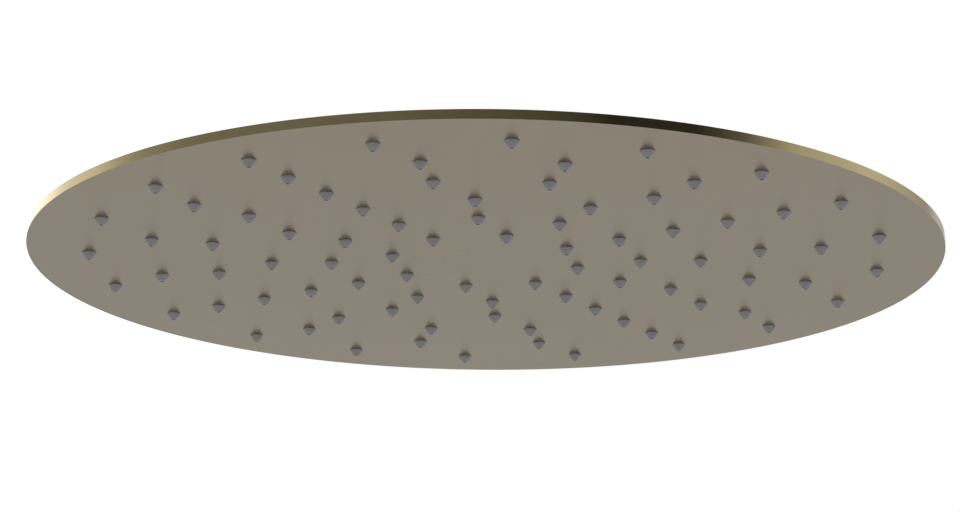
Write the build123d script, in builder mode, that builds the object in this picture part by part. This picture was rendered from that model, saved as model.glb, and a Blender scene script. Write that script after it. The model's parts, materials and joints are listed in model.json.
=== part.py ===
from build123d import *
from math import acos, asin, cos, degrees, radians, sin, tan
import os

# Rain shower head: a thin round disc of two sheet plates, pierced by rings of soft nozzles,
# that hangs from a ball joint with a G 1/2 female socket on top.
# Millimetres, +Z up, origin at the centre of the socket's mouth.

# Plates
head_radius = 150.0
rim_height = 3.0
rim_wall = 1.0
rim_chamfer = 0.1
sheet = 0.8
seam_gap = 0.05
centre_foot_radius = 62.0
centre_rise = 4.0
centre_slope = 30.0
bend_radius = 8.0

# Nozzles, ring by ring from the middle; flat sides stand for the round of each small nozzle
first_ring_radius = 31.2
ring_pitch = 19.75
ring_counts = [8, 12, 12, 16, 16, 20]
nozzle_base_radius = 2.3
nozzle_tip_radius = 0.9
nozzle_drop = 2.1
nozzle_foot = 0.2
nozzle_side_count = 10
nozzle_clearance = 0.02

# Spacer studs, on a circle midway between two rings of nozzles
stud_radius = 2.5
stud_count = 8
stud_circle_after_ring = 4

# Ball joint
ball_radius = 10.0
ball_clearance = 0.15
ball_foot_radius = 5.7
neck_radius = 6.0
neck_fillet = 1.5
water_bore_radius = 4.0
tilt_range = 10.0
tilt_clearance = 0.7
seat_wall = 1.5
seat_angle_below = 88.0
angle_margin = 2.5

# Boss and collar
boss_play = 0.2
boss_wall = 2.0
boss_above_ball = 2.0
boss_floor = 2.0
floor_inset = 1.0
floor_below_plate = 1.0
port_radius = 6.2
flange_width = 5.0
flange_thickness = 1.5
braze_gap = 0.05
seal_bore_radius = 7.0
seal_play = 0.3
thread_clearance = 0.1
collar_wall = 2.4
collar_gap = 1.0
collar_shoulder_gap = 0.5
collar_lip = 1.2
collar_chamfer = 1.5
collar_flats = 31.0

# Inlet socket, with the washer, strainer and regulator it holds
thread_radius = 10.48
thread_depth = 10.0
socket_radius = 13.5
socket_floor = 2.0
socket_chamfer = 1.0
socket_flats = 24.0
socket_flats_height = 9.0
insert_clearance = 0.1
washer_radius = 9.2
washer_bore_radius = 6.2
washer_thickness = 2.5
strainer_radius = 7.0
strainer_sheet = 0.5
strainer_pitch = 1.6
strainer_wire = 0.5
strainer_row_count = 7
regulator_radius = 7.5
regulator_height = 4.0
regulator_port_radius = 3.0
disc_radius = 5.7
disc_bore_radius = 1.5
disc_thickness = 2.0
disc_recess_depth = 2.6

# Fits shared by the pieces of the ball joint
seat_inner_radius = ball_radius + ball_clearance
seat_outer_radius = seat_inner_radius + seat_wall
collar_seat_radius = seat_outer_radius + ball_clearance
boss_bore_radius = collar_seat_radius + boss_play
boss_radius = boss_bore_radius + boss_wall
neck_angle = degrees(asin(neck_radius / ball_radius))
swing_angle = degrees(acos(cos(radians(tilt_range)) ** 2))
lip_angle = neck_angle + swing_angle + angle_margin
seat_angle_above = lip_angle + angle_margin
collar_bore_radius = boss_radius + thread_clearance
collar_radius = collar_bore_radius + collar_wall
collar_above_ball = collar_seat_radius * cos(radians(lip_angle)) + collar_lip
swing_height = collar_above_ball * cos(radians(swing_angle))
swing_height += (collar_radius - collar_chamfer) * sin(radians(swing_angle))
nozzle_rings = [(first_ring_radius + ring_pitch * ring, count) for ring, count in enumerate(ring_counts)]

# Levels, worked downwards from the mouth of the socket
washer_top_z = -thread_depth
regulator_top_z = washer_top_z - washer_thickness
regulator_floor_z = regulator_top_z - regulator_height
socket_bottom_z = regulator_floor_z - socket_floor
ball_z = socket_bottom_z - swing_height - tilt_clearance
boss_floor_z = ball_z - ball_radius + floor_inset
centre_top_z = boss_floor_z + floor_below_plate
rim_top_z = centre_top_z - centre_rise
face_z = rim_top_z - rim_height

os.makedirs("parts", exist_ok=True)


def on_ball(radius, angle):
    """Point of a section at this radius from the ball's centre, the angle taken from straight up."""
    return (radius * sin(radians(angle)), ball_z + radius * cos(radians(angle)))


# Face plate: the pressed pan, with a punched hole for every nozzle
with BuildPart() as face_plate:
    with BuildSketch(Plane.XZ):
        with BuildLine():
            Polyline(
                (0, face_z),
                (head_radius - rim_chamfer, face_z),
                (head_radius, face_z + rim_chamfer),
                (head_radius, rim_top_z - rim_chamfer),
                (head_radius - rim_chamfer, rim_top_z),
                (head_radius - rim_wall, rim_top_z),
                (head_radius - rim_wall, face_z + sheet),
                (0, face_z + sheet),
                close=True,
            )
        make_face()
    revolve(axis=Axis.Z)
    with BuildSketch(Plane.XY.offset(face_z)):
        for ring_radius, count in nozzle_rings:
            with PolarLocations(ring_radius, count):
                RegularPolygon(nozzle_base_radius + nozzle_clearance, nozzle_side_count, major_radius=False)
    extrude(amount=sheet, mode=Mode.SUBTRACT)
face_plate.part.label = "face_plate"
export_step(face_plate.part, "parts/face_plate.step")

# Nozzle rings: each nozzle is a soft plug that fills its hole and tapers below its foot to the outlet
with BuildPart() as nozzle:
    with BuildSketch(Plane.XY.offset(face_z - nozzle_drop)):
        RegularPolygon(nozzle_base_radius, nozzle_side_count, major_radius=False)
    extrude(amount=nozzle_drop + sheet)
    outlet = nozzle.faces().sort_by(Axis.Z)[0]
    chamfer(
        outlet.edges(),
        length=nozzle_base_radius - nozzle_tip_radius,
        length2=nozzle_drop - nozzle_foot,
        reference=outlet,
    )
for ring, (ring_radius, count) in enumerate(nozzle_rings, start=1):
    with BuildPart() as nozzle_ring:
        with PolarLocations(ring_radius, count):
            add(nozzle.part)
    nozzle_ring.part.label = f"nozzle_ring_{ring}"
    export_step(nozzle_ring.part, f"parts/nozzle_ring_{ring}.step")

# Spacer studs: short pins welded to both plates, clear of the nozzles
with BuildPart() as spacer_studs:
    with BuildSketch(Plane.XY.offset(face_z + sheet)):
        with PolarLocations(first_ring_radius + ring_pitch * (stud_circle_after_ring - 0.5), stud_count):
            Circle(stud_radius)
    extrude(amount=rim_height - 2 * sheet)
spacer_studs.part.label = "spacer_studs"
export_step(spacer_studs.part, "parts/spacer_studs.step")

# Back plate: sheet lid flush with the rim, pressed up in the middle around the boss
centre_crest_radius = centre_foot_radius - centre_rise / tan(radians(centre_slope))
with BuildPart() as back_plate:
    with BuildSketch(Plane.XZ):
        with BuildLine():
            FilletPolyline(
                (boss_radius + braze_gap, centre_top_z),
                (centre_crest_radius, centre_top_z),
                (centre_foot_radius, rim_top_z),
                (head_radius - rim_wall - seam_gap, rim_top_z),
                radius=bend_radius,
            )
            offset(amount=sheet, side=Side.RIGHT)
        make_face()
    revolve(axis=Axis.Z)
back_plate.part.label = "back_plate"
export_step(back_plate.part, "parts/back_plate.step")

# Inlet boss: turned cup through the back plate, brazed by its flange to the underside
flange_top_z = centre_top_z - sheet
boss_bottom_z = boss_floor_z - boss_floor
with BuildPart() as inlet_boss:
    with BuildSketch(Plane.XZ):
        with BuildLine():
            Polyline(
                (port_radius, boss_bottom_z),
                (boss_radius, boss_bottom_z),
                (boss_radius, flange_top_z - flange_thickness),
                (boss_radius + flange_width, flange_top_z - flange_thickness),
                (boss_radius + flange_width, flange_top_z),
                (boss_radius, flange_top_z),
                (boss_radius, ball_z + boss_above_ball),
                (boss_bore_radius, ball_z + boss_above_ball),
                (boss_bore_radius, boss_floor_z),
                (port_radius, boss_floor_z),
                close=True,
            )
        make_face()
    revolve(axis=Axis.Z)
inlet_boss.part.label = "inlet_boss"
export_step(inlet_boss.part, "parts/inlet_boss.step")

# Ball seal: rubber ring on the boss's floor, hollowed to the ball
seal_top_angle = seat_angle_below + tilt_range + angle_margin
seal_top_z = ball_z + seat_outer_radius * cos(radians(seal_top_angle))
seal_crown_angle = degrees(acos((seal_top_z - ball_z) / seat_inner_radius))
seal_bore_angle = 180 - degrees(asin(seal_bore_radius / seat_inner_radius))
seal_radius = boss_bore_radius - seal_play
with BuildPart() as ball_seal:
    with BuildSketch(Plane.XZ):
        with BuildLine():
            Polyline(
                on_ball(seat_inner_radius, seal_bore_angle),
                (seal_bore_radius, boss_floor_z),
                (seal_radius, boss_floor_z),
                (seal_radius, seal_top_z),
                on_ball(seat_inner_radius, seal_crown_angle),
            )
            ThreePointArc(
                on_ball(seat_inner_radius, seal_crown_angle),
                on_ball(seat_inner_radius, (seal_crown_angle + seal_bore_angle) / 2),
                on_ball(seat_inner_radius, seal_bore_angle),
            )
        make_face()
    revolve(axis=Axis.Z)
ball_seal.part.label = "ball_seal"
export_step(ball_seal.part, "parts/ball_seal.step")

# Seat ring: thin plastic liner between ball and collar, round inside and out about the ball's centre
seat_middle_angle = (seat_angle_above + seat_angle_below) / 2
with BuildPart() as seat_ring:
    with BuildSketch(Plane.XZ):
        with BuildLine():
            ThreePointArc(
                on_ball(seat_inner_radius, seat_angle_above),
                on_ball(seat_inner_radius, seat_middle_angle),
                on_ball(seat_inner_radius, seat_angle_below),
            )
            Line(on_ball(seat_inner_radius, seat_angle_below), on_ball(seat_outer_radius, seat_angle_below))
            ThreePointArc(
                on_ball(seat_outer_radius, seat_angle_below),
                on_ball(seat_outer_radius, seat_middle_angle),
                on_ball(seat_outer_radius, seat_angle_above),
            )
            Line(on_ball(seat_outer_radius, seat_angle_above), on_ball(seat_inner_radius, seat_angle_above))
        make_face()
    revolve(axis=Axis.Z)
seat_ring.part.label = "seat_ring"
export_step(seat_ring.part, "parts/seat_ring.step")

# Collar nut: screws over the boss, and its round shoulder keeps the seat ring and ball in
collar_bottom_z = centre_top_z + collar_gap
collar_shoulder_z = ball_z + boss_above_ball + collar_shoulder_gap
collar_shoulder_angle = degrees(acos((collar_shoulder_z - ball_z) / collar_seat_radius))
collar_mouth_radius = on_ball(collar_seat_radius, lip_angle)[0]
collar_top_z = ball_z + collar_above_ball
with BuildPart() as collar_nut:
    with BuildSketch(Plane.XZ):
        with BuildLine():
            ThreePointArc(
                on_ball(collar_seat_radius, lip_angle),
                on_ball(collar_seat_radius, (lip_angle + collar_shoulder_angle) / 2),
                on_ball(collar_seat_radius, collar_shoulder_angle),
            )
            Polyline(
                on_ball(collar_seat_radius, collar_shoulder_angle),
                (collar_bore_radius, collar_shoulder_z),
                (collar_bore_radius, collar_bottom_z),
                (collar_radius, collar_bottom_z),
                (collar_radius, collar_top_z - collar_chamfer),
                (collar_radius - collar_chamfer, collar_top_z),
                (collar_mouth_radius, collar_top_z),
                on_ball(collar_seat_radius, lip_angle),
            )
        make_face()
    revolve(axis=Axis.Z)
    with BuildSketch(Plane.XY.offset(collar_bottom_z)):
        with Locations((0, collar_flats / 2 + collar_radius), (0, -collar_flats / 2 - collar_radius)):
            Rectangle(2 * collar_radius, 2 * collar_radius)
    extrude(amount=collar_top_z - collar_chamfer - collar_bottom_z, mode=Mode.SUBTRACT)
collar_nut.part.label = "collar_nut"
export_step(collar_nut.part, "parts/collar_nut.step")

# Ball stem: one turned piece, ball below, neck, and the threaded socket above with its stepped pockets
ball_foot_angle = 180 - degrees(asin(ball_foot_radius / ball_radius))
washer_pocket_radius = washer_radius + insert_clearance
regulator_pocket_radius = regulator_radius + insert_clearance
with BuildPart() as ball_stem:
    with BuildSketch(Plane.XZ):
        with BuildLine():
            ThreePointArc(
                on_ball(ball_radius, ball_foot_angle),
                on_ball(ball_radius, (ball_foot_angle + neck_angle) / 2),
                on_ball(ball_radius, neck_angle),
            )
            Line(on_ball(ball_radius, neck_angle), (neck_radius, socket_bottom_z - neck_fillet))
            RadiusArc(
                (neck_radius, socket_bottom_z - neck_fillet),
                (neck_radius + neck_fillet, socket_bottom_z),
                neck_fillet,
            )
            Polyline(
                (neck_radius + neck_fillet, socket_bottom_z),
                (socket_radius - socket_chamfer, socket_bottom_z),
                (socket_radius, socket_bottom_z + socket_chamfer),
                (socket_radius, -socket_chamfer),
                (socket_radius - socket_chamfer, 0),
                (thread_radius, 0),
                (thread_radius, washer_top_z),
                (washer_pocket_radius, washer_top_z),
                (washer_pocket_radius, regulator_top_z),
                (regulator_pocket_radius, regulator_top_z),
                (regulator_pocket_radius, regulator_floor_z),
                (water_bore_radius, regulator_floor_z),
                (water_bore_radius, on_ball(ball_radius, ball_foot_angle)[1]),
                on_ball(ball_radius, ball_foot_angle),
            )
        make_face()
    revolve(axis=Axis.Z)
    with BuildSketch(Plane.XY.offset(socket_bottom_z)):
        with Locations((0, socket_flats / 2 + socket_radius), (0, -socket_flats / 2 - socket_radius)):
            Rectangle(2 * socket_radius, 2 * socket_radius)
    extrude(amount=socket_flats_height, mode=Mode.SUBTRACT)
ball_stem.part.label = "ball_stem"
export_step(ball_stem.part, "parts/ball_stem.step")

# Inlet washer: flat rubber ring with a groove inside for the strainer
strainer_z = (washer_top_z + regulator_top_z - strainer_sheet) / 2
groove_radius = strainer_radius + insert_clearance
with BuildPart() as inlet_washer:
    with BuildSketch(Plane.XZ):
        with Locations(((washer_bore_radius + washer_radius) / 2, (washer_top_z + regulator_top_z) / 2)):
            Rectangle(washer_radius - washer_bore_radius, washer_thickness)
        with Locations(((washer_bore_radius + groove_radius) / 2, strainer_z + strainer_sheet / 2)):
            Rectangle(
                groove_radius - washer_bore_radius,
                strainer_sheet + 2 * insert_clearance,
                mode=Mode.SUBTRACT,
            )
    revolve(axis=Axis.Z)
inlet_washer.part.label = "inlet_washer"
export_step(inlet_washer.part, "parts/inlet_washer.step")

# Strainer mesh: disc with square openings, its edge in the washer's groove
with BuildPart() as strainer_mesh:
    with BuildSketch(Plane.XY.offset(strainer_z)):
        Circle(strainer_radius)
        with BuildSketch(mode=Mode.SUBTRACT):
            with GridLocations(strainer_pitch, strainer_pitch, strainer_row_count, strainer_row_count):
                Rectangle(strainer_pitch - strainer_wire, strainer_pitch - strainer_wire)
            Circle(washer_bore_radius - strainer_wire, mode=Mode.INTERSECT)
    extrude(amount=strainer_sheet)
strainer_mesh.part.label = "strainer_mesh"
export_step(strainer_mesh.part, "parts/strainer_mesh.step")

# Flow regulator: moulded insert with a stepped port
with BuildPart() as flow_regulator:
    with BuildSketch(Plane.XY.offset(regulator_floor_z)):
        Circle(regulator_radius)
    extrude(amount=regulator_height)
    with Locations((0, 0, regulator_top_z)):
        CounterBoreHole(regulator_port_radius, disc_radius + insert_clearance, disc_recess_depth)
flow_regulator.part.label = "flow_regulator"
export_step(flow_regulator.part, "parts/flow_regulator.step")

# Regulator disc: rubber disc on the step of the port, whose bore narrows as the pressure rises
with BuildPart() as regulator_disc:
    with BuildSketch(Plane.XY.offset(regulator_top_z - disc_recess_depth)):
        Circle(disc_radius)
        Circle(disc_bore_radius, mode=Mode.SUBTRACT)
    extrude(amount=disc_thickness)
regulator_disc.part.label = "regulator_disc"
export_step(regulator_disc.part, "parts/regulator_disc.step")
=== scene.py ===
import json
import math

import bpy
from mathutils import Matrix, Vector


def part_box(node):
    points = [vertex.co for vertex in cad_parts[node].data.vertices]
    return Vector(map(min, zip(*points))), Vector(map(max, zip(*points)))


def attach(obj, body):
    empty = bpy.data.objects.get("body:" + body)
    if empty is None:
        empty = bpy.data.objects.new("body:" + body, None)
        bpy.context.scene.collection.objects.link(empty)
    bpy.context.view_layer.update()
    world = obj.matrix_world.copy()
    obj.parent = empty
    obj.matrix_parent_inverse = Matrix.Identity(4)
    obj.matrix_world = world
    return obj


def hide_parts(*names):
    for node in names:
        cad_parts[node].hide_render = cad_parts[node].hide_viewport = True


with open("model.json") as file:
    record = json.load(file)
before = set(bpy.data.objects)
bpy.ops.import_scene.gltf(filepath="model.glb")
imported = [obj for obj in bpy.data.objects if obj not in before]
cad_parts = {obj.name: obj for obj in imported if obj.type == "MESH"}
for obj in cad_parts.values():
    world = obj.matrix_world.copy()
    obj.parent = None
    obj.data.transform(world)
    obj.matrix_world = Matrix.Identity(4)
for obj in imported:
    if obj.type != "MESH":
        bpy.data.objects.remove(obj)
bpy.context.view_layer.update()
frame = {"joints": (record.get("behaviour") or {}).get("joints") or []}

# Face plate
# The lower half of the head: a round pan of brass-coated sheet with a low square rim, pressed in one piece
# and punched for every nozzle. The face is brushed in straight lines before it is cut, and the rim is
# brushed round afterwards.
mm = 0.001
micron = 0.001 * mm
face_low, face_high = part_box("face_plate")
head_radius = face_high.x
face_level = face_low.z
rim_level = face_high.z
sheet = 0.8 * mm
rim_wall = 1.0 * mm
rim_round = 0.04 * mm
rim_round_steps = 3
edge_steps = 2
plate_segments = 360
hard_edge_angle = 28
smooth_angle = 35
ring_counts = (8, 12, 12, 16, 16, 20)
cad_nozzle_corner = 2.418 * mm
ring_radii = []
for ring in range(1, len(ring_counts) + 1):
    ring_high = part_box(f"nozzle_ring_{ring}")[1]
    ring_radii.append(ring_high.x - cad_nozzle_corner)
nozzle_base_radius = 2.3 * mm
punch_gap = 0.02 * mm
punch_radius = nozzle_base_radius + punch_gap
punch_length = 4 * sheet
punch_segments = 32
hairline_stretch = (60, 9000, 9000)
hairline_detail = 4
hairline_harshness = 0.65
hairline_patches = 14
turned_wander = 1.5
turned_lines = 5000
turned_detail = 3
turned_harshness = 0.6
turned_patches = 60
patch_detail = 2
line_weight = 0.6
grain_span = (0.5, 1.1)
# The face's brass is painted darker and greyer than the rim's, though both are one sheet: painted shade for
# the face that looks down. The lid takes the same darkened tones.
shade_darkened_sheet_tones = ((0.408, 0.348, 0.253, 1), (0.450, 0.384, 0.279, 1))
sheet_grazing = (0.84, 0.84, 0.84, 1)
rim_tones = ((0.600, 0.498, 0.272, 1), (0.625, 0.521, 0.290, 1))
face_roughness = (0.24, 0.28)
rim_roughness = (0.1, 0.15)
plate_scratch = 0.01 * micron
plain_grazing = (1, 1, 1, 1)
upright_normal = 0.95


def only(piece):
    """Leaves just this piece selected and active."""
    bpy.ops.object.select_all(action="DESELECT")
    piece.select_set(True)
    bpy.context.view_layer.objects.active = piece


def fix(piece, modifier):
    """Applies one modifier to its piece."""
    only(piece)
    bpy.ops.object.modifier_apply(modifier=modifier.name)


def round_edges(piece, width, steps=edge_steps):
    """Takes the sharpness off every hard edge of a piece."""
    bevel = piece.modifiers.new("edge_round", "BEVEL")
    bevel.width = width
    bevel.segments = steps
    bevel.limit_method = "ANGLE"
    bevel.angle_limit = math.radians(hard_edge_angle)
    fix(piece, bevel)


def smooth(piece, angle=smooth_angle):
    """Smooth shading between faces that meet at less than the angle, with flat faces kept flat."""
    only(piece)
    bpy.ops.object.shade_smooth_by_angle(angle=math.radians(angle))
    weighted = piece.modifiers.new("flat_faces", "WEIGHTED_NORMAL")
    weighted.keep_sharp = True
    fix(piece, weighted)


def cut(piece, tool):
    """Cuts a tool's shape out of a piece and throws the tool away."""
    boolean = piece.modifiers.new("cut", "BOOLEAN")
    boolean.operation = "DIFFERENCE"
    boolean.solver = "EXACT"
    boolean.object = tool
    fix(piece, boolean)
    bpy.data.objects.remove(tool)


def new_group(name, outputs):
    """An empty shader node group that takes a vector and puts out values."""
    group = bpy.data.node_groups.new(name, "ShaderNodeTree")
    group.interface.new_socket(name="Vector", in_out="INPUT", socket_type="NodeSocketVector")
    for output in outputs:
        group.interface.new_socket(name=output, in_out="OUTPUT", socket_type="NodeSocketFloat")
    return group


def straight_brushing():
    """Shader group: long hairlines along X, and soft patches where the brush pressed harder."""
    group = new_group("straight_brushing", ("Lines", "Patches"))
    nodes = group.nodes
    links = group.links
    start = nodes.new("NodeGroupInput")
    end = nodes.new("NodeGroupOutput")
    stretch = nodes.new("ShaderNodeVectorMath")
    stretch.operation = "MULTIPLY"
    stretch.inputs[1].default_value = hairline_stretch
    lines = nodes.new("ShaderNodeTexNoise")
    lines.inputs["Scale"].default_value = 1
    lines.inputs["Detail"].default_value = hairline_detail
    lines.inputs["Roughness"].default_value = hairline_harshness
    patches = nodes.new("ShaderNodeTexNoise")
    patches.inputs["Scale"].default_value = hairline_patches
    patches.inputs["Detail"].default_value = patch_detail
    links.new(start.outputs["Vector"], stretch.inputs[0])
    links.new(stretch.outputs["Vector"], lines.inputs["Vector"])
    links.new(start.outputs["Vector"], patches.inputs["Vector"])
    links.new(lines.outputs["Fac"], end.inputs["Lines"])
    links.new(patches.outputs["Fac"], end.inputs["Patches"])
    return group


def round_brushing():
    """Shader group: hairlines that run round the Z axis, as a lathe or a turned disc leaves them."""
    group = new_group("round_brushing", ("Lines", "Patches"))
    nodes = group.nodes
    links = group.links
    start = nodes.new("NodeGroupInput")
    end = nodes.new("NodeGroupOutput")
    split = nodes.new("ShaderNodeSeparateXYZ")
    flat = nodes.new("ShaderNodeCombineXYZ")
    radius = nodes.new("ShaderNodeVectorMath")
    radius.operation = "LENGTH"
    around = nodes.new("ShaderNodeVectorMath")
    around.operation = "NORMALIZE"
    turns = nodes.new("ShaderNodeVectorMath")
    turns.operation = "SCALE"
    turns.inputs["Scale"].default_value = turned_wander
    height = nodes.new("ShaderNodeMath")
    height.operation = "MULTIPLY"
    height.inputs[1].default_value = turned_lines
    reach = nodes.new("ShaderNodeMath")
    reach.operation = "MULTIPLY"
    reach.inputs[1].default_value = turned_lines
    raised = nodes.new("ShaderNodeCombineXYZ")
    place = nodes.new("ShaderNodeVectorMath")
    place.operation = "ADD"
    lines = nodes.new("ShaderNodeTexNoise")
    lines.noise_dimensions = "4D"
    lines.inputs["Scale"].default_value = 1
    lines.inputs["Detail"].default_value = turned_detail
    lines.inputs["Roughness"].default_value = turned_harshness
    patches = nodes.new("ShaderNodeTexNoise")
    patches.inputs["Scale"].default_value = turned_patches
    patches.inputs["Detail"].default_value = patch_detail
    links.new(start.outputs["Vector"], split.inputs["Vector"])
    links.new(split.outputs["X"], flat.inputs["X"])
    links.new(split.outputs["Y"], flat.inputs["Y"])
    links.new(flat.outputs["Vector"], radius.inputs[0])
    links.new(flat.outputs["Vector"], around.inputs[0])
    links.new(around.outputs["Vector"], turns.inputs[0])
    links.new(split.outputs["Z"], height.inputs[0])
    links.new(height.outputs["Value"], raised.inputs["Z"])
    links.new(turns.outputs["Vector"], place.inputs[0])
    links.new(raised.outputs["Vector"], place.inputs[1])
    links.new(radius.outputs["Value"], reach.inputs[0])
    links.new(place.outputs["Vector"], lines.inputs["Vector"])
    links.new(reach.outputs["Value"], lines.inputs["W"])
    links.new(start.outputs["Vector"], patches.inputs["Vector"])
    links.new(lines.outputs["Fac"], end.inputs["Lines"])
    links.new(patches.outputs["Fac"], end.inputs["Patches"])
    return group


def brushed_metal(name, brushing, tones, roughness, scratch, grazing=plain_grazing):
    """Metal with hairlines in tone, roughness and height; grazing tints what it mirrors at a low angle."""
    material = bpy.data.materials.new(name)
    material.use_nodes = True
    nodes = material.node_tree.nodes
    links = material.node_tree.links
    shader = nodes["Principled BSDF"]
    shader.inputs["Metallic"].default_value = 1
    shader.inputs["Specular Tint"].default_value = grazing
    where = nodes.new("ShaderNodeTexCoord")
    grain = nodes.new("ShaderNodeGroup")
    grain.node_tree = brushing
    tone = nodes.new("ShaderNodeMix")
    tone.data_type = "RGBA"
    tone.inputs["A"].default_value, tone.inputs["B"].default_value = tones
    both = nodes.new("ShaderNodeMath")
    both.operation = "MULTIPLY_ADD"
    both.inputs[1].default_value = line_weight
    gloss = nodes.new("ShaderNodeMapRange")
    gloss.inputs["From Min"].default_value, gloss.inputs["From Max"].default_value = grain_span
    gloss.inputs["To Min"].default_value, gloss.inputs["To Max"].default_value = roughness
    bump = nodes.new("ShaderNodeBump")
    bump.inputs["Strength"].default_value = 1
    bump.inputs["Distance"].default_value = scratch
    links.new(where.outputs["Object"], grain.inputs["Vector"])
    links.new(grain.outputs["Lines"], tone.inputs["Factor"])
    links.new(tone.outputs["Result"], shader.inputs["Base Color"])
    links.new(grain.outputs["Lines"], both.inputs[0])
    links.new(grain.outputs["Patches"], both.inputs[2])
    links.new(both.outputs["Value"], gloss.inputs["Value"])
    links.new(gloss.outputs["Result"], shader.inputs["Roughness"])
    links.new(grain.outputs["Lines"], bump.inputs["Height"])
    links.new(bump.outputs["Normal"], shader.inputs["Normal"])
    return material


straight_lines = straight_brushing()
round_lines = round_brushing()
# The face's material carries the painted shade of its darkened tones.
face_brass_painted_shade = brushed_metal(
    "face_brass_painted_shade", straight_lines, shade_darkened_sheet_tones, face_roughness, plate_scratch, sheet_grazing
)
rim_brass = brushed_metal("rim_brass", round_lines, rim_tones, rim_roughness, plate_scratch)

bpy.ops.object.select_all(action="DESELECT")
bpy.ops.mesh.primitive_circle_add(
    vertices=plate_segments, radius=head_radius, fill_type="NGON", location=(0, 0, face_level)
)
face_plate = bpy.context.object
face_plate.name = "brass_face_plate"
bpy.ops.object.transform_apply(location=True, rotation=False, scale=False)
bpy.ops.object.mode_set(mode="EDIT")
bpy.ops.mesh.select_all(action="SELECT")
bpy.ops.mesh.extrude_region_move(TRANSFORM_OT_translate={"value": (0, 0, rim_level - face_level)})
bpy.ops.mesh.inset(thickness=rim_wall)
bpy.ops.mesh.extrude_region_move(TRANSFORM_OT_translate={"value": (0, 0, face_level + sheet - rim_level)})
bpy.ops.mesh.select_all(action="SELECT")
bpy.ops.mesh.normals_make_consistent(inside=False)
bpy.ops.object.mode_set(mode="OBJECT")
round_edges(face_plate, rim_round, rim_round_steps)

bpy.ops.object.select_all(action="DESELECT")
bpy.ops.object.add(type="MESH")
punch = bpy.context.object
bpy.ops.object.mode_set(mode="EDIT")
for ring_radius, count in zip(ring_radii, ring_counts):
    for place in range(count):
        angle = math.tau * place / count
        bpy.ops.mesh.primitive_cylinder_add(
            vertices=punch_segments,
            radius=punch_radius,
            depth=punch_length,
            location=(ring_radius * math.cos(angle), ring_radius * math.sin(angle), face_level + sheet / 2),
        )
bpy.ops.object.mode_set(mode="OBJECT")
cut(face_plate, punch)
smooth(face_plate)
face_plate.data.materials.append(face_brass_painted_shade)
face_plate.data.materials.append(rim_brass)
for face in face_plate.data.polygons:
    if abs(face.normal.z) < upright_normal and face.center.xy.length > head_radius - rim_wall:
        face.material_index = 1
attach(face_plate, "head")
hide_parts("face_plate")

# Nozzles
# Soft silicone nubs, moulded in rings and pressed through the holes of the face from inside, which a thumb
# rubs clean of lime. Each is a rounded cone, bored through for the water, with a fine groove where it
# meets the face.
nozzle_tip_radius = 1.05 * mm
nozzle_drop = face_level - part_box("nozzle_ring_1")[0].z
nozzle_bulge = 0.12 * mm
nozzle_lip = 0.06 * mm
groove_height = 0.055 * mm
groove_depth = 0.12 * mm
nozzle_steps = 8
tip_round = 0.08 * mm
outlet_radius = 0.75 * mm
outlet_length = 0.9 * mm
throat_radius = 1.2 * mm
nozzle_segments = 32
silicone_tones = ((0.281, 0.268, 0.277, 1), (0.320, 0.306, 0.316, 1))
silicone_bloom = 0.55
silicone_roughness = (0.46, 0.62)
silicone_tooth = 2 * micron
nozzle_smooth_angle = 50
merge_distance = 0.002 * mm
cloud_scale = 220
cloud_detail = 3
tooth_scale = 9000
tooth_detail = 2
moulded_specular = 0.4


def turn(name, section, segments):
    """A turned piece about the Z axis, from its half section: a closed run of (radius, height)."""
    radius, height = section[0]
    bpy.ops.object.select_all(action="DESELECT")
    bpy.ops.mesh.primitive_circle_add(vertices=segments, radius=radius, location=(0, 0, height))
    piece = bpy.context.object
    piece.name = name
    bpy.ops.object.transform_apply(location=True, rotation=False, scale=False)
    bpy.ops.object.mode_set(mode="EDIT")
    bpy.ops.mesh.select_all(action="SELECT")
    for next_radius, next_height in section[1:] + section[:1]:
        bpy.ops.mesh.extrude_region_move(TRANSFORM_OT_translate={"value": (0, 0, next_height - height)})
        scale = next_radius / radius
        bpy.ops.transform.resize(value=(scale, scale, 1), center_override=(0, 0, next_height))
        radius, height = next_radius, next_height
    bpy.ops.mesh.select_all(action="SELECT")
    bpy.ops.mesh.remove_doubles(threshold=merge_distance)
    bpy.ops.mesh.normals_make_consistent(inside=False)
    bpy.ops.object.mode_set(mode="OBJECT")
    return piece


def mould_skin():
    """Shader group: the faint cloudiness of a moulded piece, and the fine tooth of its skin."""
    group = new_group("mould_skin", ("Cloud", "Tooth"))
    nodes = group.nodes
    links = group.links
    start = nodes.new("NodeGroupInput")
    end = nodes.new("NodeGroupOutput")
    cloud = nodes.new("ShaderNodeTexNoise")
    cloud.inputs["Scale"].default_value = cloud_scale
    cloud.inputs["Detail"].default_value = cloud_detail
    tooth = nodes.new("ShaderNodeTexNoise")
    tooth.inputs["Scale"].default_value = tooth_scale
    tooth.inputs["Detail"].default_value = tooth_detail
    links.new(start.outputs["Vector"], cloud.inputs["Vector"])
    links.new(start.outputs["Vector"], tooth.inputs["Vector"])
    links.new(cloud.outputs["Fac"], end.inputs["Cloud"])
    links.new(tooth.outputs["Fac"], end.inputs["Tooth"])
    return group


skin = mould_skin()


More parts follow.
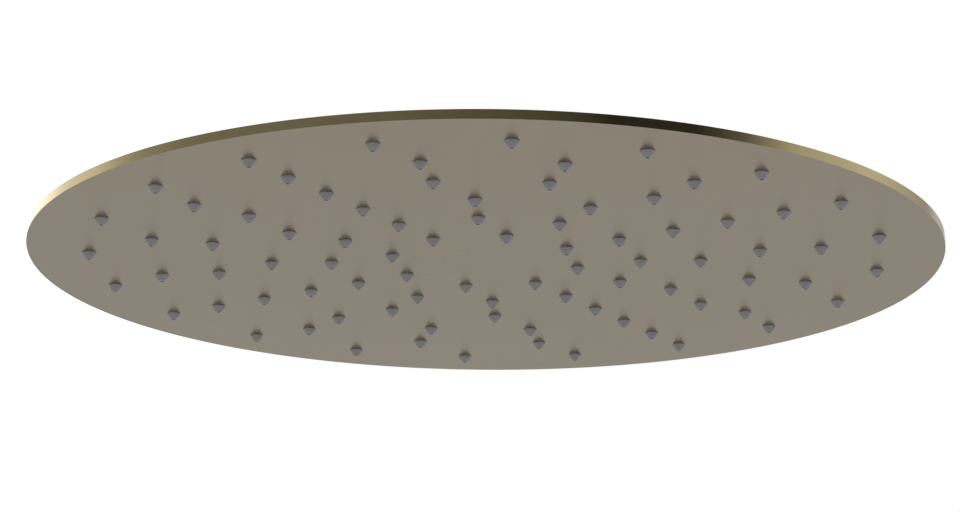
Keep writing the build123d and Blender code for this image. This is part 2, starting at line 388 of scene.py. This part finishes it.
def moulded(name, tones, roughness, tooth, bloom=0):
    """Moulded rubber or plastic, cloudy in tone and roughness, with a fine tooth and a dusty bloom."""
    material = bpy.data.materials.new(name)
    material.use_nodes = True
    nodes = material.node_tree.nodes
    links = material.node_tree.links
    shader = nodes["Principled BSDF"]
    shader.inputs["Specular IOR Level"].default_value = moulded_specular
    shader.inputs["Sheen Weight"].default_value = bloom
    where = nodes.new("ShaderNodeTexCoord")
    surface = nodes.new("ShaderNodeGroup")
    surface.node_tree = skin
    tone = nodes.new("ShaderNodeMix")
    tone.data_type = "RGBA"
    tone.inputs["A"].default_value, tone.inputs["B"].default_value = tones
    gloss = nodes.new("ShaderNodeMapRange")
    gloss.inputs["To Min"].default_value, gloss.inputs["To Max"].default_value = roughness
    bump = nodes.new("ShaderNodeBump")
    bump.inputs["Strength"].default_value = 1
    bump.inputs["Distance"].default_value = tooth
    links.new(where.outputs["Object"], surface.inputs["Vector"])
    links.new(surface.outputs["Cloud"], tone.inputs["Factor"])
    links.new(surface.outputs["Cloud"], gloss.inputs["Value"])
    links.new(tone.outputs["Result"], shader.inputs["Base Color"])
    links.new(gloss.outputs["Result"], shader.inputs["Roughness"])
    links.new(surface.outputs["Tooth"], bump.inputs["Height"])
    links.new(bump.outputs["Normal"], shader.inputs["Normal"])
    return material


def ring_of_copies(piece, name, radius, count):
    """One piece of this name, joined from copies of a small piece spaced evenly round the Z axis."""
    copies = []
    for place in range(count):
        copy = piece.copy()
        copy.data = piece.data.copy()
        turned = Matrix.Rotation(math.tau * place / count, 4, "Z")
        copy.data.transform(turned @ Matrix.Translation((radius, 0, 0)))
        bpy.context.collection.objects.link(copy)
        copies.append(copy)
    only(copies[0])
    for copy in copies:
        copy.select_set(True)
    bpy.ops.object.join()
    joined = bpy.context.object
    joined.name = name
    return joined


silicone = moulded("nozzle_silicone", silicone_tones, silicone_roughness, silicone_tooth, silicone_bloom)
nozzle_section = [
    (throat_radius, face_level),
    (throat_radius, face_level + sheet),
    (nozzle_base_radius, face_level + sheet),
    (nozzle_base_radius, face_level),
    (nozzle_base_radius - groove_depth, face_level),
    (nozzle_base_radius - groove_depth, face_level - groove_height),
]
lip_radius = nozzle_base_radius + nozzle_lip
for step in range(nozzle_steps + 1):
    share = step / nozzle_steps
    taper = lip_radius + (nozzle_tip_radius - lip_radius) * share
    bulge = nozzle_bulge * math.sin(math.pi * share)
    drop = groove_height + (nozzle_drop - groove_height) * share
    nozzle_section.append((taper + bulge, face_level - drop))
nozzle_section += [
    (outlet_radius, face_level - nozzle_drop),
    (outlet_radius, face_level - nozzle_drop + outlet_length),
]
nozzle = turn("nozzle", nozzle_section, nozzle_segments)
round_edges(nozzle, tip_round)
smooth(nozzle, nozzle_smooth_angle)
nozzle.data.materials.append(silicone)
for ring, (ring_radius, count) in enumerate(zip(ring_radii, ring_counts), start=1):
    nozzle_ring = ring_of_copies(nozzle, f"silicone_nozzles_{ring}", ring_radius, count)
    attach(nozzle_ring, "head")
    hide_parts(f"nozzle_ring_{ring}")
bpy.data.objects.remove(nozzle)

# Spacer studs
# Short steel pins, spot-welded between the two plates so that water pressure can't belly them out.
# Each is turned from bar, with a shallow dimple in both ends where the weld starts.
stud_low, stud_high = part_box("spacer_studs")
stud_radius = 2.5 * mm
stud_circle = stud_high.x - stud_radius
stud_count = 8
weld_radius = 1.4 * mm
weld_depth = 0.15 * mm
stud_round = 0.15 * mm
stud_segments = 32
steel_tones = ((0.52, 0.51, 0.50, 1), (0.60, 0.59, 0.57, 1))
stud_roughness = (0.25, 0.4)
stud_scratch = 0.2 * micron
stud_steel = brushed_metal("stud_steel", round_lines, steel_tones, stud_roughness, stud_scratch)
stud_section = [
    (weld_radius / 2, stud_low.z + weld_depth),
    (weld_radius, stud_low.z),
    (stud_radius, stud_low.z),
    (stud_radius, stud_high.z),
    (weld_radius, stud_high.z),
    (weld_radius / 2, stud_high.z - weld_depth),
]
stud = turn("stud", stud_section, stud_segments)
round_edges(stud, stud_round)
smooth(stud)
stud.data.materials.append(stud_steel)
spacer_studs = ring_of_copies(stud, "steel_spacer_studs", stud_circle, stud_count)
bpy.data.objects.remove(stud)
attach(spacer_studs, "head")
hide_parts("spacer_studs")

# Back plate
# The lid of the head: the same brushed sheet, pressed up in the middle to make room for the inlet,
# laid inside the rim flush with its top, and sealed along that seam.
back_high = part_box("back_plate")[1]
lid_radius = back_high.x
raised_level = back_high.z
boss_radius = 14.0 * mm
lid_hole_gap = 0.05 * mm
lid_hole_radius = boss_radius + lid_hole_gap
foot_radius = 62.0 * mm
press_angle = math.radians(30)
bend_radius = 8.0 * mm
bend_steps = 8
lid_round = 0.12 * mm
lid_roughness = (0.27, 0.34)
lid_scratch = 0.02 * micron
press_run = (raised_level - rim_level) / math.tan(press_angle)
bend_run = bend_radius * math.tan(press_angle / 2)
crest_bend = foot_radius - press_run - bend_run
foot_bend = foot_radius + bend_run


def pressed_line(depth):
    """Section of the lid from its hole to its edge, this deep under the upper side."""
    turns = [press_angle * step / bend_steps for step in range(bend_steps + 1)]
    crest = bend_radius - depth
    foot = bend_radius + depth
    line = [(lid_hole_radius, raised_level - depth)]
    for angle in turns:
        height = raised_level - bend_radius + crest * math.cos(angle)
        line.append((crest_bend + crest * math.sin(angle), height))
    for angle in reversed(turns):
        height = rim_level + bend_radius - foot * math.cos(angle)
        line.append((foot_bend - foot * math.sin(angle), height))
    line.append((lid_radius, rim_level - depth))
    return line


# The lid reuses the face's darkened tones, so it carries the same painted shade.
lid_brass = brushed_metal(
    "lid_brass", straight_lines, shade_darkened_sheet_tones, lid_roughness, lid_scratch, sheet_grazing
)
lid = turn("brass_back_plate", pressed_line(0) + pressed_line(sheet)[::-1], plate_segments)
round_edges(lid, lid_round)
smooth(lid)
lid.data.materials.append(lid_brass)
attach(lid, "head")
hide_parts("back_plate")

# Inlet boss
# A turned brass cup that stands through the lid and is brazed to it from inside by its flange.
# A thin fillet of braze shows round its foot, and the collar nut screws on to its thread.
boss_low, boss_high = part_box("inlet_boss")
boss_bore_radius = 12.0 * mm
boss_bottom = 2.0 * mm
boss_floor = boss_low.z + boss_bottom
boss_port_radius = 6.2 * mm
flange_radius = boss_high.x
flange_level = raised_level - sheet
flange_thickness = 1.5 * mm
braze_width = 0.8 * mm
braze_steps = 5
collar_pitch = 1.5 * mm
collar_thread_depth = 0.55 * mm
turned_segments = 128
thread_rows = 10
thread_run_out = 0.6
thread_tolerance = 0.01 * mm
boss_thread_start = 1.0 * mm
boss_round = 0.1 * mm
turned_roughness = (0.16, 0.24)
turned_scratch = 0.05 * micron


def bore_rows(radius, start, end, pitch):
    """Rows of a threaded wall, close enough together to carry the thread's wave."""
    count = round(abs(end - start) / pitch * thread_rows)
    return [(radius, start + (end - start) * row / count) for row in range(count + 1)]


def cut_thread(piece, radius, depth, pitch, low, high):
    """Rounded thread, cut into the wall of this radius between two levels and run out at both ends."""
    run_out_height = thread_run_out * pitch
    for vertex in piece.data.vertices:
        reach = vertex.co.xy.length
        height = vertex.co.z
        if abs(reach - radius) > thread_tolerance or not low <= height <= high:
            continue
        turn_share = math.atan2(vertex.co.y, vertex.co.x) / math.tau
        wave = 0.5 + 0.5 * math.cos(math.tau * (height / pitch - turn_share))
        run_out = min(1, (height - low) / run_out_height, (high - height) / run_out_height)
        scale = 1 - depth * wave * run_out / reach
        vertex.co.x *= scale
        vertex.co.y *= scale


turned_brass = brushed_metal("turned_brass", round_lines, rim_tones, turned_roughness, turned_scratch)
fillet = []
for step in range(braze_steps + 1):
    angle = math.pi / 2 * step / braze_steps
    fillet.append(
        (
            boss_radius + braze_width * (1 - math.sin(angle)),
            raised_level + braze_width * (1 - math.cos(angle)),
        )
    )
boss_thread_low = raised_level + boss_thread_start
boss_section = [
    (boss_port_radius, boss_low.z),
    (boss_radius, boss_low.z),
    (boss_radius, flange_level - flange_thickness),
    (flange_radius, flange_level - flange_thickness),
    (flange_radius, flange_level),
    (boss_radius, flange_level),
    (boss_radius, raised_level),
]
boss_section += fillet
boss_section += bore_rows(boss_radius, boss_thread_low, boss_high.z, collar_pitch)
boss_section += [
    (boss_bore_radius, boss_high.z),
    (boss_bore_radius, boss_floor),
    (boss_port_radius, boss_floor),
]
boss = turn("brass_inlet_boss", boss_section, turned_segments)
round_edges(boss, boss_round)
cut_thread(boss, boss_radius, collar_thread_depth, collar_pitch, boss_thread_low, boss_high.z)
smooth(boss)
boss.data.materials.append(turned_brass)
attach(boss, "head")
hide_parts("inlet_boss")

# Ball seal
# A black rubber ring on the floor of the boss, hollowed to the ball, that keeps the water in as it tilts.
# It is moulded in one piece and only laid in, squeezed a little when the collar nut is tightened.
ball_level = frame["joints"][0]["pos_m"][2]
seal_low, seal_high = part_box("ball_seal")
ball_radius = 10.0 * mm
ball_gap = 0.15 * mm
seat_wall = 1.5 * mm
seat_inner_radius = ball_radius + ball_gap
seat_outer_radius = seat_inner_radius + seat_wall
seal_bore_radius = 7.0 * mm
arc_steps = 14
seal_round = 0.2 * mm
ring_segments = 96
rubber_tones = ((0.018, 0.018, 0.019, 1), (0.040, 0.040, 0.041, 1))
rubber_roughness = (0.5, 0.72)
rubber_tooth = 4 * micron


def on_ball(radius, start, end):
    """Arc of a section about the ball's centre, between two angles from straight up."""
    angles = [start + (end - start) * step / arc_steps for step in range(arc_steps + 1)]
    return [(radius * math.sin(angle), ball_level + radius * math.cos(angle)) for angle in angles]


black_rubber = moulded("black_rubber", rubber_tones, rubber_roughness, rubber_tooth)
seal_crown_angle = math.acos((seal_high.z - ball_level) / seat_inner_radius)
seal_bore_angle = math.pi - math.asin(seal_bore_radius / seat_inner_radius)
seal_section = on_ball(seat_inner_radius, seal_crown_angle, seal_bore_angle)
seal_section += [
    (seal_bore_radius, seal_low.z),
    (seal_high.x, seal_low.z),
    (seal_high.x, seal_high.z),
]
seal = turn("rubber_ball_seal", seal_section, ring_segments)
round_edges(seal, seal_round)
smooth(seal)
seal.data.materials.append(black_rubber)
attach(seal, "seal")
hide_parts("ball_seal")

# Seat ring
# A thin white acetal liner that the ball turns in, round inside and out, held down by the collar nut.
# It is moulded, and gives enough to be snapped over the ball into its place.
seat_low, seat_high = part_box("seat_ring")
seat_round = 0.2 * mm
acetal_tones = ((0.72, 0.71, 0.68, 1), (0.78, 0.77, 0.74, 1))
acetal_roughness = (0.28, 0.42)
acetal_tooth = 1 * micron
white_acetal = moulded("white_acetal", acetal_tones, acetal_roughness, acetal_tooth)
seat_top_angle = math.acos((seat_high.z - ball_level) / seat_outer_radius)
seat_bottom_angle = math.acos((seat_low.z - ball_level) / seat_inner_radius)
seat_section = on_ball(seat_inner_radius, seat_top_angle, seat_bottom_angle)
seat_section += on_ball(seat_outer_radius, seat_bottom_angle, seat_top_angle)
seat = turn("acetal_seat_ring", seat_section, ring_segments)
round_edges(seat, seat_round)
smooth(seat)
seat.data.materials.append(white_acetal)
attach(seat, "seat")
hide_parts("seat_ring")

# Ball stem
# One turned brass piece: the ball, a short neck, and a socket with the half-inch pipe thread inside
# that screws on to the shower arm. Two flats on the socket take a spanner.
stem_low, stem_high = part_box("ball_stem")
socket_radius = stem_high.x
socket_underside = -18.5 * mm
socket_edge = 1.0 * mm
socket_flats = 24.0 * mm
socket_flats_height = 9.0 * mm
neck_radius = 6.0 * mm
neck_fillet = 1.5 * mm
fillet_steps = 6
pipe_radius = 10.48 * mm
pipe_thread_depth = 1.16 * mm
pipe_pitch = 1.814 * mm
mouth_edge = 0.7 * mm
washer_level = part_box("inlet_washer")[1].z
regulator_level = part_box("flow_regulator")[1].z
regulator_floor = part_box("flow_regulator")[0].z
washer_pocket_radius = 9.3 * mm
regulator_pocket_radius = 7.6 * mm
water_bore_radius = 4.0 * mm
stem_round = 0.2 * mm
cut_margin = 1.0 * mm


def spanner_tool(across, low, high):
    """Two blocks that cut a pair of flats, this far across, on the Y sides between two levels."""
    size = 2 * socket_radius
    bpy.ops.object.select_all(action="DESELECT")
    bpy.ops.object.add(type="MESH")
    tool = bpy.context.object
    bpy.ops.object.mode_set(mode="EDIT")
    for side in (-1, 1):
        bpy.ops.mesh.primitive_cube_add(
            size=1,
            location=(0, side * (across + size) / 2, (low + high) / 2),
            scale=(2 * size, size, high - low),
        )
    bpy.ops.object.mode_set(mode="OBJECT")
    return tool


ball_foot_angle = math.acos((stem_low.z - ball_level) / ball_radius)
stem_section = on_ball(ball_radius, ball_foot_angle, math.asin(neck_radius / ball_radius))
for step in range(fillet_steps + 1):
    angle = math.pi / 2 * step / fillet_steps
    stem_section.append(
        (
            neck_radius + neck_fillet * (1 - math.cos(angle)),
            socket_underside - neck_fillet * (1 - math.sin(angle)),
        )
    )
stem_section += [
    (socket_radius - socket_edge, socket_underside),
    (socket_radius, socket_underside + socket_edge),
    (socket_radius, -socket_edge),
    (socket_radius - socket_edge, 0),
    (pipe_radius + mouth_edge, 0),
]
stem_section += bore_rows(pipe_radius, -mouth_edge, washer_level, pipe_pitch)
stem_section += [
    (washer_pocket_radius, washer_level),
    (washer_pocket_radius, regulator_level),
    (regulator_pocket_radius, regulator_level),
    (regulator_pocket_radius, regulator_floor),
    (water_bore_radius, regulator_floor),
    (water_bore_radius, stem_low.z),
]
stem = turn("brass_ball_stem", stem_section, turned_segments)
socket_flats_top = socket_underside + socket_flats_height
cut(stem, spanner_tool(socket_flats, socket_underside - cut_margin, socket_flats_top))
round_edges(stem, stem_round)
cut_thread(stem, pipe_radius, pipe_thread_depth, pipe_pitch, washer_level, -mouth_edge)
smooth(stem)
stem.data.materials.append(turned_brass)
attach(stem, "stem")
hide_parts("ball_stem")

# Collar nut
# A turned brass nut that screws over the boss; its rounded shoulder holds the seat ring and the ball in.
# Two flats take a spanner, and tightening it makes the ball stiffer to tilt.
collar_low, collar_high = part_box("collar_nut")
collar_radius = collar_high.x
collar_thread_gap = 0.1 * mm
collar_seat_gap = 0.15 * mm
collar_end_gap = 0.5 * mm
collar_bore_radius = boss_radius + collar_thread_gap
collar_seat_radius = seat_outer_radius + collar_seat_gap
collar_lip = 1.2 * mm
collar_edge = 1.5 * mm
collar_flats = 31.0 * mm
collar_round = 0.2 * mm
collar_shoulder = boss_high.z + collar_end_gap
collar_thread_high = collar_shoulder - collar_pitch
lip_angle = math.acos((collar_high.z - collar_lip - ball_level) / collar_seat_radius)
shoulder_angle = math.acos((collar_shoulder - ball_level) / collar_seat_radius)
collar_section = on_ball(collar_seat_radius, lip_angle, shoulder_angle)
collar_section += bore_rows(collar_bore_radius, collar_shoulder, collar_low.z, collar_pitch)
collar_section += [
    (collar_radius, collar_low.z),
    (collar_radius, collar_high.z - collar_edge),
    (collar_radius - collar_edge, collar_high.z),
    (collar_seat_radius * math.sin(lip_angle), collar_high.z),
]
collar = turn("brass_collar_nut", collar_section, turned_segments)
cut(collar, spanner_tool(collar_flats, collar_low.z - cut_margin, collar_high.z - collar_edge))
round_edges(collar, collar_round)
cut_thread(collar, collar_bore_radius, collar_thread_depth, collar_pitch, collar_low.z, collar_thread_high)
smooth(collar)
collar.data.materials.append(turned_brass)
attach(collar, "head")
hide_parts("collar_nut")

# Inlet washer
# A flat black rubber washer at the bottom of the thread, grooved inside to hold the strainer.
# It is moulded in one piece and pressed into its pocket, where it seals against the end of the shower arm.
washer_low, washer_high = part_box("inlet_washer")
washer_bore_radius = 6.2 * mm
groove_radius = 7.1 * mm
strainer_low, strainer_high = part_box("strainer_mesh")
groove_gap = 0.1 * mm
washer_round = 0.18 * mm
washer_section = [
    (washer_high.x, washer_high.z),
    (washer_high.x, washer_low.z),
    (washer_bore_radius, washer_low.z),
    (washer_bore_radius, strainer_low.z - groove_gap),
    (groove_radius, strainer_low.z - groove_gap),
    (groove_radius, strainer_high.z + groove_gap),
    (washer_bore_radius, strainer_high.z + groove_gap),
    (washer_bore_radius, washer_high.z),
]
washer = turn("rubber_inlet_washer", washer_section, ring_segments)
round_edges(washer, washer_round)
smooth(washer)
washer.data.materials.append(black_rubber)
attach(washer, "stem")
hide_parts("inlet_washer")

# Strainer
# A disc of woven steel wire, its edge crimped in a flat ring, that catches grit before the nozzles.
# The cloth is punched round before it is crimped, and the ring snaps into the washer's groove.
strainer_radius = strainer_high.x
strainer_ring_radius = 5.7 * mm
wire_pitch = 1.6 * mm
wire_count = 8
wire_radius = 0.13 * mm
wire_sides = 8
weave_steps = 4
wire_bite = wire_pitch / 4
wire_smooth_angle = 50
strainer_round = 0.1 * mm
wire_roughness = (0.2, 0.3)
wire_scratch = 0.1 * micron
strainer_level = (strainer_low.z + strainer_high.z) / 2
weave_rise = (strainer_high.z - strainer_low.z) / 2 - wire_radius
wire_steel = brushed_metal("wire_steel", round_lines, steel_tones, wire_roughness, wire_scratch)
ring_section = [
    (strainer_radius, strainer_high.z),
    (strainer_radius, strainer_low.z),
    (strainer_ring_radius, strainer_low.z),
    (strainer_ring_radius, strainer_high.z),
]
strainer = turn("steel_strainer", ring_section, ring_segments)
round_edges(strainer, strainer_round)


def woven_wire(offset, phase):
    """One wire along X, this far off the middle, waving over and under the wires that cross it."""
    half = math.sqrt((strainer_ring_radius + wire_bite) ** 2 - offset**2)
    steps = round(2 * half / wire_pitch * weave_steps)
    places = [-half + 2 * half * step / steps for step in range(steps + 1)]
    heights = [strainer_level + weave_rise * math.sin(math.pi * (x / wire_pitch + phase)) for x in places]
    bpy.ops.object.select_all(action="DESELECT")
    bpy.ops.mesh.primitive_circle_add(
        vertices=wire_sides,
        radius=wire_radius,
        location=(places[0], offset, heights[0]),
        rotation=(0, math.pi / 2, 0),
        fill_type="NGON",
    )
    wire = bpy.context.object
    bpy.ops.object.transform_apply(location=True, rotation=True, scale=False)
    bpy.ops.object.mode_set(mode="EDIT")
    bpy.ops.mesh.select_all(action="SELECT")
    for step in range(steps):
        move = (places[step + 1] - places[step], 0, heights[step + 1] - heights[step])
        bpy.ops.mesh.extrude_region_move(TRANSFORM_OT_translate={"value": move})
    bpy.ops.mesh.select_all(action="SELECT")
    bpy.ops.mesh.normals_make_consistent(inside=False)
    bpy.ops.object.mode_set(mode="OBJECT")
    return wire


wires = []
for row in range(wire_count):
    offset = (row - (wire_count - 1) / 2) * wire_pitch
    warp = woven_wire(offset, row)
    weft = woven_wire(offset, row + 1)
    weft.data.transform(Matrix.Rotation(math.pi / 2, 4, "Z"))
    wires += [warp, weft]
only(strainer)
for wire in wires:
    wire.select_set(True)
bpy.ops.object.join()
smooth(strainer, wire_smooth_angle)
strainer.data.materials.append(wire_steel)
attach(strainer, "stem")
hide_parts("strainer_mesh")

# Flow regulator
# A moulded blue acetal insert under the strainer, with a stepped port for the rubber disc.
# It is pushed into its pocket in the stem by hand and held there by the washer above it.
regulator_low, regulator_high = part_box("flow_regulator")
regulator_port_radius = 3.0 * mm
disc_low, disc_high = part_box("regulator_disc")
recess_gap = 0.1 * mm
recess_radius = disc_high.x + recess_gap
regulator_round = 0.2 * mm
insert_segments = 64
regulator_tones = ((0.035, 0.12, 0.32, 1), (0.045, 0.15, 0.37, 1))
regulator_roughness = (0.3, 0.42)
blue_acetal = moulded("blue_acetal", regulator_tones, regulator_roughness, acetal_tooth)
regulator_section = [
    (regulator_high.x, regulator_high.z),
    (regulator_high.x, regulator_low.z),
    (regulator_port_radius, regulator_low.z),
    (regulator_port_radius, disc_low.z),
    (recess_radius, disc_low.z),
    (recess_radius, regulator_high.z),
]
regulator = turn("acetal_flow_regulator", regulator_section, insert_segments)
round_edges(regulator, regulator_round)
smooth(regulator)
regulator.data.materials.append(blue_acetal)
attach(regulator, "stem")
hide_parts("flow_regulator")

# Regulator disc
# A thick moulded rubber disc that lies loose in the regulator's recess.
# Water pressure squeezes its bore, which holds the flow steady.
disc_bore_radius = 1.5 * mm
disc_round = 0.3 * mm
disc_round_steps = 3
disc_section = [
    (disc_high.x, disc_high.z),
    (disc_high.x, disc_low.z),
    (disc_bore_radius, disc_low.z),
    (disc_bore_radius, disc_high.z),
]
disc = turn("rubber_regulator_disc", disc_section, insert_segments)
round_edges(disc, disc_round, disc_round_steps)
smooth(disc)
disc.data.materials.append(black_rubber)
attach(disc, "stem")
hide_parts("regulator_disc")

# Floor
# A plain pale studio floor, far enough below the head for a camera that looks up at it.
# It dissolves far off, so that it meets the white of the room without an edge.
floor_level = -0.55
floor_size = 120
floor_grey = (0.592, 0.592, 0.592, 1)
floor_fades = (4, 16)
floor_roughness = 0.9
bpy.ops.object.select_all(action="DESELECT")
bpy.ops.mesh.primitive_plane_add(size=floor_size, location=(0, 0, floor_level))
floor = bpy.context.object
floor.name = "floor"
bpy.ops.object.transform_apply(location=True, rotation=False, scale=False)
floor_material = bpy.data.materials.new("floor_paint")
floor_material.use_nodes = True
floor_nodes = floor_material.node_tree.nodes
floor_links = floor_material.node_tree.links
floor_shader = floor_nodes["Principled BSDF"]
floor_shader.inputs["Base Color"].default_value = floor_grey
floor_shader.inputs["Roughness"].default_value = floor_roughness
floor_shader.inputs["Specular IOR Level"].default_value = 0
floor_where = floor_nodes.new("ShaderNodeTexCoord")
floor_distance = floor_nodes.new("ShaderNodeVectorMath")
floor_distance.operation = "LENGTH"
floor_fade = floor_nodes.new("ShaderNodeMapRange")
floor_fade.interpolation_type = "SMOOTHSTEP"
floor_fade.inputs["From Min"].default_value = floor_fades[1]
floor_fade.inputs["From Max"].default_value = floor_fades[0]
floor_links.new(floor_where.outputs["Object"], floor_distance.inputs[0])
floor_links.new(floor_distance.outputs["Value"], floor_fade.inputs["Value"])
floor_links.new(floor_fade.outputs["Result"], floor_shader.inputs["Alpha"])
floor.data.materials.append(floor_material)

# Room light
# A white studio room that lights from every side: white walls, a lit ceiling with one soft box,
# a faint soft box behind the head and, on the camera's side, a band of darker wall for the rim to mirror.
camera_azimuth = 302.75
ceiling_white = 0.85
wall_white = 1.0
band_from = (5, 9)
band_to = (24, 36)
ceiling_from = (30, 50)
wall_tones = [
    (-180, 1.0),
    (-125, 1.0),
    (-112, 0.84),
    (-94, 0.37),
    (-77, 0.24),
    (-22, 0.16),
    (18, 0.075),
    (31, 0.022),
    (52, 0.03),
    (65, 0.13),
    (80, 0.54),
    (108, 0.72),
    (139, 0.38),
    (150, 0.6),
    (161, 0.48),
    (169.5, 1.0),
    (180, 1.0),
]
top_box_direction = (-60, 62)
top_box_edge = (13, 18)
top_box_strength = 2.2
side_box_direction = (-152, 18)
side_box_edge = (9, 26)
side_box_strength = 0.5


def toward(azimuth, elevation):
    """Unit vector to a place in the room, the azimuth counted as the camera's is."""
    a = math.radians(azimuth)
    e = math.radians(elevation)
    return Vector((math.sin(a) * math.cos(e), -math.cos(a) * math.cos(e), math.sin(e)))


room = bpy.data.worlds.new("studio_room")
room.use_nodes = True
bpy.context.scene.world = room
room_nodes = room.node_tree.nodes
room_links = room.node_tree.links
room_light = room_nodes["Background"]


def room_math(operation, first, second):
    """A Math node of the room, fed by sockets or numbers."""
    node = room_nodes.new("ShaderNodeMath")
    node.operation = operation
    for socket, value in zip(node.inputs, (first, second)):
        if isinstance(value, bpy.types.NodeSocket):
            room_links.new(value, socket)
        else:
            socket.default_value = value
    return node.outputs["Value"]


def room_step(value, low, high):
    """A soft step of the room from 0 at low to 1 at high."""
    node = room_nodes.new("ShaderNodeMapRange")
    node.interpolation_type = "SMOOTHSTEP"
    node.inputs["From Min"].default_value = low
    node.inputs["From Max"].default_value = high
    room_links.new(value, node.inputs["Value"])
    return node.outputs["Result"]


room_where = room_nodes.new("ShaderNodeTexCoord")
room_turn = room_nodes.new("ShaderNodeVectorRotate")
room_turn.rotation_type = "Z_AXIS"
room_turn.inputs["Angle"].default_value = -math.radians(camera_azimuth)
room_links.new(room_where.outputs["Generated"], room_turn.inputs["Vector"])
room_split = room_nodes.new("ShaderNodeSeparateXYZ")
room_links.new(room_turn.outputs["Vector"], room_split.inputs["Vector"])
room_x = room_split.outputs["X"]
room_y = room_math("MULTIPLY", room_split.outputs["Y"], -1)
room_z = room_split.outputs["Z"]
room_bearing = room_math("ARCTAN2", room_x, room_y)
room_share = room_math("MULTIPLY_ADD", room_bearing, 1 / math.tau)
room_share.node.inputs[2].default_value = 0.5
wall_ramp = room_nodes.new("ShaderNodeValToRGB")
room_links.new(room_share, wall_ramp.inputs["Fac"])
wall_stops = wall_ramp.color_ramp.elements
ready_stops = len(wall_stops)
for index, (bearing, tone) in enumerate(wall_tones):
    position = bearing / 360 + 0.5
    stop = wall_stops[index] if index < ready_stops else wall_stops.new(position)
    stop.position = position
    stop.color = (tone, tone, tone, 1)
sines = [[math.sin(math.radians(angle)) for angle in edge] for edge in (band_from, band_to, ceiling_from)]
band_rise = room_step(room_z, *sines[0])
band_fall = room_step(room_z, *sines[1])
band = room_math("SUBTRACT", band_rise, band_fall)
overhead = room_step(room_z, *sines[2])
plain_tone = room_nodes.new("ShaderNodeMix")
plain_tone.inputs["A"].default_value = wall_white
plain_tone.inputs["B"].default_value = ceiling_white
room_links.new(overhead, plain_tone.inputs["Factor"])
banded = room_nodes.new("ShaderNodeMix")
room_links.new(band, banded.inputs["Factor"])
room_links.new(plain_tone.outputs["Result"], banded.inputs["A"])
room_links.new(wall_ramp.outputs["Color"], banded.inputs["B"])


def soft_box(direction, edge, strength):
    """The light of a round soft box in this direction, fading out between two angles from its middle."""
    facing = room_nodes.new("ShaderNodeVectorMath")
    facing.operation = "DOT_PRODUCT"
    facing.inputs[1].default_value = toward(*direction)
    room_links.new(room_turn.outputs["Vector"], facing.inputs[0])
    inner, outer = [math.cos(math.radians(angle)) for angle in edge]
    glow = room_step(facing.outputs["Value"], outer, inner)
    return room_math("MULTIPLY", glow, strength)


top_box = soft_box(top_box_direction, top_box_edge, top_box_strength)
side_box = soft_box(side_box_direction, side_box_edge, side_box_strength)
room_total = room_math("ADD", banded.outputs["Result"], room_math("ADD", top_box, side_box))
room_links.new(room_total, room_light.inputs["Color"])
bpy.context.scene.view_settings.view_transform = "Standard"

# Camera
# It stands a little over a metre off, below the head, and looks up at the face as a bather does.
camera_elevation = -15.678
camera_distance = 1.03642
camera_lens = 117.97
sensor_width = 36
camera_roll = 0.4415
aim_right = -1.841 * mm
aim_up = 1.91 * mm
face_centre = Vector((0, 0, face_level))
camera_data = bpy.data.cameras.new("camera")
camera_data.lens = camera_lens
camera_data.sensor_width = sensor_width
camera = bpy.data.objects.new("camera", camera_data)
bpy.context.collection.objects.link(camera)
camera.location = face_centre + camera_distance * toward(camera_azimuth, camera_elevation)
level_view = (face_centre - camera.location).to_track_quat("-Z", "Y").to_matrix()
aim = face_centre + level_view.col[0] * aim_right + level_view.col[1] * aim_up
aimed = (aim - camera.location).to_track_quat("-Z", "Y").to_matrix()
rolled = aimed @ Matrix.Rotation(math.radians(camera_roll), 3, "Z")
camera.rotation_euler = rolled.to_euler()
bpy.context.scene.camera = camera
